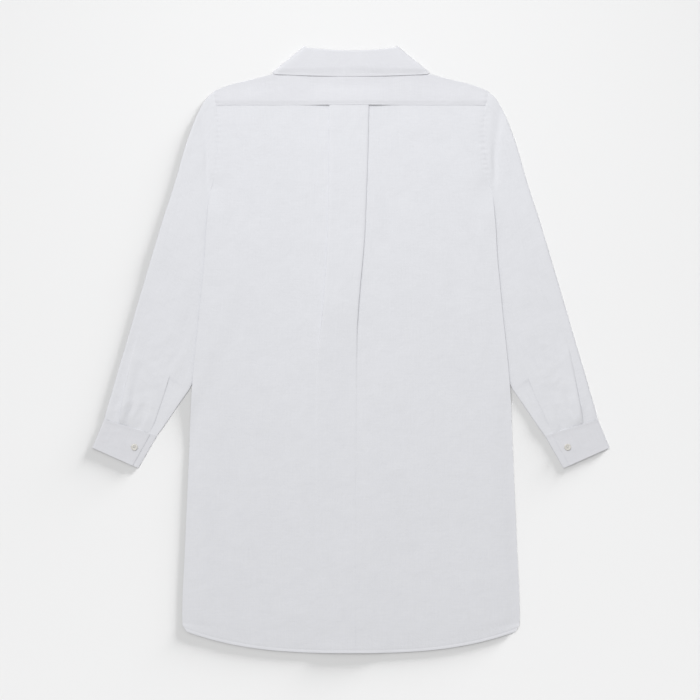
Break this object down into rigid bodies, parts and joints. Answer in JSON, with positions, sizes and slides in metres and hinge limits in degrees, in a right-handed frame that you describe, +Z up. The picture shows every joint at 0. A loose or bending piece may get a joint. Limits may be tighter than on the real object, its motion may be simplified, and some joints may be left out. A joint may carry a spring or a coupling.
{
  "type": "nightshirt",
  "caption": "Long-sleeved linen nightshirt laid flat with its back up: folded collar, yoke, box-pleated back, buttoned cuffs and a curved turned hem.",
  "frame": {"origin": "on the surface that the garment lies on, under the middle of its outline", "axes": "+Y from the hem to the collar, +X to the wearer's right sleeve, +Z up out of the garment's back"},
  "size_m": [0.854, 1.0019, 0.0105],
  "materials": {
    "linen": "fine plain-woven white cloth, matt",
    "button": "off-white pearl, softly glossy"
  },
  "bodies": {
    "root": {"back": "linen", "yoke": "linen", "front_right": "linen", "front_left": "linen", "placket": "linen", "collar_leaf": "linen", "collar_stand": "linen", "sleeve_right": "linen", "sleeve_left": "linen", "cuff_right": "linen", "cuff_left": "linen", "button_cuff_right": "button", "button_cuff_left": "button", "button_stand": "button", "button_front_1": "button", "button_front_2": "button", "button_front_3": "button", "button_front_4": "button", "button_front_5": "button", "button_front_6": "button", "button_front_7": "button", "button_front_8": "button"}
  },
  "joints": []
}
